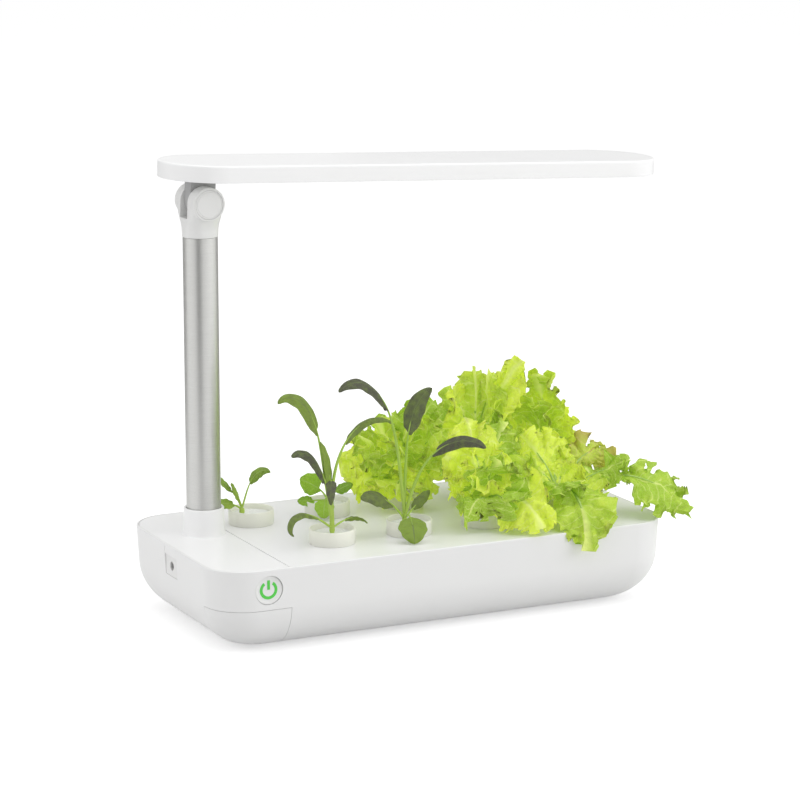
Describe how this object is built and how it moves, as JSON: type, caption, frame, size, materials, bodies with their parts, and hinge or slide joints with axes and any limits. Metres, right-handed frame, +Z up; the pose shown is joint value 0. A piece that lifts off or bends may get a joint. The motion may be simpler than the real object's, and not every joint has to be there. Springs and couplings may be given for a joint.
{
  "type": "countertop hydroponic garden",
  "caption": "Countertop hydroponic garden: boat-shaped water tank with a lift-off tray of plant pods, and a long grow lamp that tilts on a hinge at the top of a mast.",
  "frame": {"origin": "on the table, under the plan centre of the base", "axes": "+X along the base's length, away from the mast; +Y to the back; +Z up"},
  "size_m": [0.4441, 0.2132, 0.3703],
  "materials": {
    "white_shell": "satin moulded white",
    "white_deck": "smooth satin white",
    "white_button": "satin white",
    "green_light": "lit green light guide",
    "white_hinge": "satin moulded white",
    "lamp_white": "smooth satin white",
    "diffuser": "milky",
    "brushed_tube": "brushed and anodised",
    "rubber": "matt",
    "steel": "plain",
    "nylon": "plain",
    "grey_plastic": "plain",
    "black_plastic": "moulded",
    "cable_black": "smooth",
    "circuit_board": "solder resist",
    "led_board": "white solder resist",
    "led": "phosphor",
    "pod_clear": "frosted translucent",
    "sponge": "fine open foam",
    "sprout_leaf": "young leaf",
    "round_leaf": "soft leaf",
    "herb_leaf": "dark glossy leaf",
    "lettuce_leaf": "ruffled leaf"
  },
  "bodies": {
    "root": {"base_hull": "white_shell", "rubber_feet": "rubber", "control_cover": "white_shell", "deck_plate": "white_deck", "deck_screws": "steel", "button_switch": "black_plastic", "inlet_plate": "white_shell", "inlet_jack": "black_plastic", "control_board": "circuit_board", "board_parts": "black_plastic", "mast_tube": "brushed_tube", "mast_foot": "grey_plastic", "mast_screw": "steel", "mast_head": "white_hinge", "mast_cable": "cable_black", "hinge_pin": "steel", "hinge_caps": "white_hinge"},
    "button": {"power_button": "white_button", "button_icon": "green_light"},
    "lamp": {"lamp_bracket": "white_hinge", "hinge_washers": "nylon", "bracket_screws": "steel", "lamp_housing": "lamp_white", "lamp_end_cover": "lamp_white", "lamp_diffuser": "diffuser", "led_board": "led_board", "leds": "led", "lamp_cable": "cable_black"},
    "tray": {"grow_tray": "white_deck"},
    "holder_b1": {"pod_b1": "pod_clear", "sponge_b1": "sponge", "plant_b1": "sprout_leaf"},
    "holder_b2": {"pod_b2": "pod_clear", "sponge_b2": "sponge", "plant_b2": "round_leaf"},
    "holder_b3": {"pod_b3": "pod_clear", "sponge_b3": "sponge", "plant_b3": "lettuce_leaf"},
    "holder_b4": {"pod_b4": "pod_clear", "sponge_b4": "sponge", "plant_b4": "lettuce_leaf"},
    "holder_b5": {"pod_b5": "pod_clear", "sponge_b5": "sponge", "plant_b5": "lettuce_leaf"},
    "holder_f1": {"pod_f1": "pod_clear", "sponge_f1": "sponge", "plant_f1": "herb_leaf"},
    "holder_f2": {"pod_f2": "pod_clear", "sponge_f2": "sponge", "plant_f2": "herb_leaf"},
    "holder_f3": {"pod_f3": "pod_clear", "sponge_f3": "sponge", "plant_f3": "lettuce_leaf"},
    "holder_f4": {"pod_f4": "pod_clear", "sponge_f4": "sponge", "plant_f4": "lettuce_leaf"}
  },
  "joints": [
    {"name": "lamp_tilt", "type": "hinge", "parent": "root", "child": "lamp", "pos_m": [-0.16, 0.0264, 0.3362], "axis": [0, -1, 0], "range_deg": [0, 90]},
    {"name": "button_press", "type": "slide", "parent": "root", "child": "button", "axis": [0, 1, 0], "range_m": [0, 0.001], "stiffness_N_per_m": 600, "springref_m": -0.001},
    {"name": "tray_lift", "type": "slide", "parent": "root", "child": "tray", "axis": [0, 0, 1], "range_m": [0, 0.06]},
    {"name": "pod_lift_b1", "type": "slide", "parent": "tray", "child": "holder_b1", "axis": [0, 0, 1], "range_m": [0, 0.05]},
    {"name": "pod_lift_b2", "type": "slide", "parent": "tray", "child": "holder_b2", "axis": [0, 0, 1], "range_m": [0, 0.05]},
    {"name": "pod_lift_b3", "type": "slide", "parent": "tray", "child": "holder_b3", "axis": [0, 0, 1], "range_m": [0, 0.05]},
    {"name": "pod_lift_b4", "type": "slide", "parent": "tray", "child": "holder_b4", "axis": [0, 0, 1], "range_m": [0, 0.05]},
    {"name": "pod_lift_b5", "type": "slide", "parent": "tray", "child": "holder_b5", "axis": [0, 0, 1], "range_m": [0, 0.05]},
    {"name": "pod_lift_f1", "type": "slide", "parent": "tray", "child": "holder_f1", "axis": [0, 0, 1], "range_m": [0, 0.05]},
    {"name": "pod_lift_f2", "type": "slide", "parent": "tray", "child": "holder_f2", "axis": [0, 0, 1], "range_m": [0, 0.05]},
    {"name": "pod_lift_f3", "type": "slide", "parent": "tray", "child": "holder_f3", "axis": [0, 0, 1], "range_m": [0, 0.05]},
    {"name": "pod_lift_f4", "type": "slide", "parent": "tray", "child": "holder_f4", "axis": [0, 0, 1], "range_m": [0, 0.05]}
  ]
}
